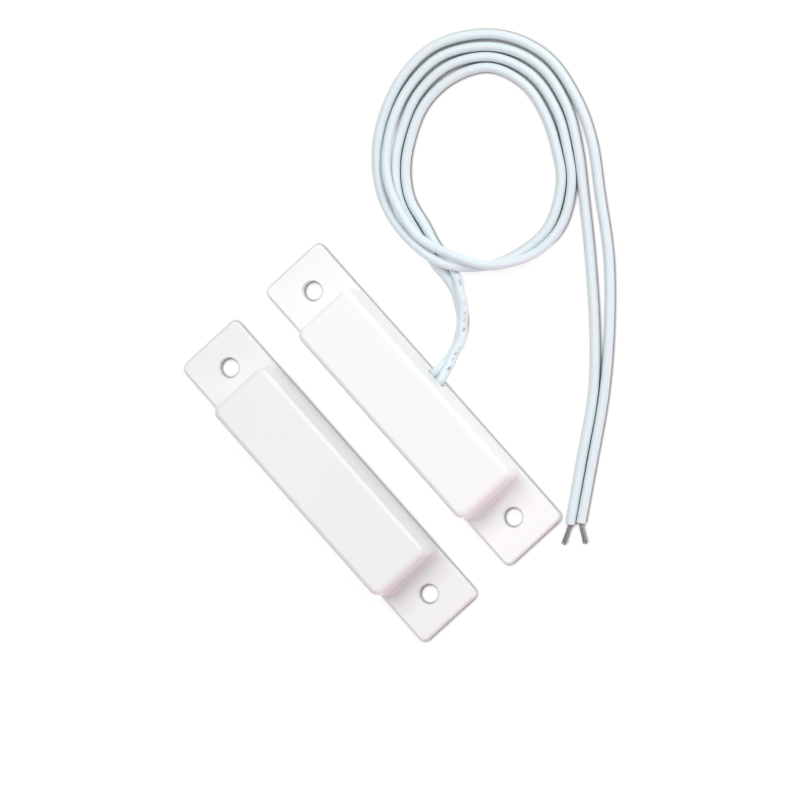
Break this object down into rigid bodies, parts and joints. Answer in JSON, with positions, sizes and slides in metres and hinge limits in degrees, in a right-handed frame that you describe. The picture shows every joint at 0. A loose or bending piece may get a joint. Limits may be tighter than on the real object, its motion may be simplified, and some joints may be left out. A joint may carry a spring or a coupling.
{
  "type": "door contact sensor",
  "caption": "Surface-mount magnetic door contact: a wired reed switch half and a matching magnet half, each a low box with a screw ear at both ends.",
  "frame": {"origin": "centre of the switch half's mounting face", "axes": "+X along the housing, +Y out of the side that the leads leave, +Z away from the surface it is screwed to; the magnet half lies on the -Y side"},
  "size_m": [0.0816, 0.0837, 0.0111],
  "materials": {
    "housing_plastic": "satin moulded white ABS",
    "plate_plastic": "satin moulded white ABS",
    "wire_insulation": "soft white PVC with a cool tint",
    "tinned_copper": "twisted tinned copper strands",
    "solder": "smooth solder",
    "nickel_iron": "plated nickel-iron",
    "glass": "clear, slightly green",
    "shrink_sleeve": "black shrink sleeve",
    "foam": "dark foam",
    "hot_melt": "cloudy hot-melt",
    "ferrite": "sintered ferrite"
  },
  "bodies": {
    "switch_half": {"switch_housing": "housing_plastic", "switch_base_plate": "plate_plastic", "reed_glass": "glass", "reed_lead_a": "nickel_iron", "reed_lead_b": "nickel_iron", "bare_core_a": "tinned_copper", "bare_core_b": "tinned_copper", "solder_joint_a": "solder", "solder_joint_b": "solder", "shrink_sleeve_a": "shrink_sleeve", "shrink_sleeve_b": "shrink_sleeve", "reed_foam_pad": "foam", "exit_glue": "hot_melt", "wire_a": "wire_insulation", "wire_b": "wire_insulation", "tinned_end_a": "tinned_copper", "tinned_end_b": "tinned_copper"},
    "magnet_half": {"magnet_housing": "housing_plastic", "magnet_base_plate": "plate_plastic", "bar_magnet": "ferrite", "magnet_foam_pad": "foam"},
    "contact_blade_a": {"reed_blade_a": "nickel_iron"},
    "contact_blade_b": {"reed_blade_b": "nickel_iron"}
  },
  "joints": [
    {"name": "door_travel", "type": "slide", "parent": "switch_half", "child": "magnet_half", "axis": [0, -1, 0], "range_m": [0, 0.04]},
    {"name": "blade_a_flex", "type": "hinge", "parent": "switch_half", "child": "contact_blade_a", "pos_m": [-0.00587, -0.0014, 0.00441], "axis": [0, -1, 0], "range_deg": [0, 1.2]},
    {"name": "blade_b_flex", "type": "hinge", "parent": "switch_half", "child": "contact_blade_b", "pos_m": [0.00587, -0.0014, 0.00439], "axis": [0, -1, 0], "range_deg": [0, 1.2]}
  ],
  "couplings": [
    {"joint": "blade_a_flex", "follows": "door_travel", "rad_per_m": 0.5},
    {"joint": "blade_b_flex", "follows": "door_travel", "rad_per_m": 0.5}
  ]
}
